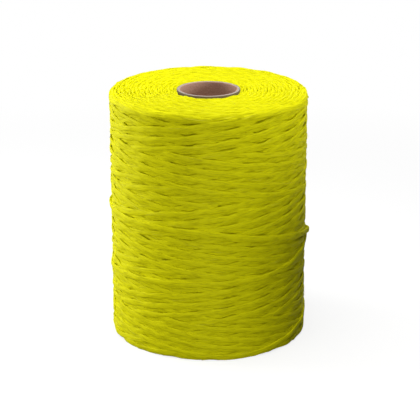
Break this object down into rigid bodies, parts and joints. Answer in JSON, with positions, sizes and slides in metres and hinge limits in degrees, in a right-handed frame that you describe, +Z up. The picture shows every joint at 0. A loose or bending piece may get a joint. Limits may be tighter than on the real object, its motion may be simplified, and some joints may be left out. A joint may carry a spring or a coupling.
{
  "type": "twine reel",
  "caption": "Flangeless reel of flat yellow polypropylene twine, cross-wound on a plain paper tube whose open bore takes a rod or spindle.",
  "frame": {"origin": "centre of the bottom face, on the tube's axis, where the reel stands", "axes": "+Z up along the tube's axis; the reel is round, so X and Y have no marked side"},
  "size_m": [0.172, 0.172, 0.22],
  "materials": {
    "brown_paper": "matte",
    "grey_board": "matte",
    "yellow_twine": "satin"
  },
  "bodies": {
    "root": {"tube_liner": "brown_paper", "tube_board_ply_1": "grey_board", "tube_board_ply_2": "grey_board", "tube_board_ply_3": "grey_board", "tube_board_ply_4": "grey_board", "tube_wrap": "brown_paper", "twine_coverage_01": "yellow_twine", "twine_coverage_02": "yellow_twine", "twine_coverage_03": "yellow_twine", "twine_coverage_04": "yellow_twine", "twine_coverage_05": "yellow_twine", "twine_coverage_06": "yellow_twine", "twine_coverage_07": "yellow_twine", "twine_coverage_08": "yellow_twine", "twine_coverage_09": "yellow_twine", "twine_coverage_10": "yellow_twine", "twine_coverage_11": "yellow_twine", "twine_coverage_12": "yellow_twine", "twine_coverage_13": "yellow_twine", "twine_coverage_14": "yellow_twine", "twine_coverage_15": "yellow_twine", "twine_coverage_16": "yellow_twine", "twine_coverage_17": "yellow_twine"}
  },
  "joints": []
}
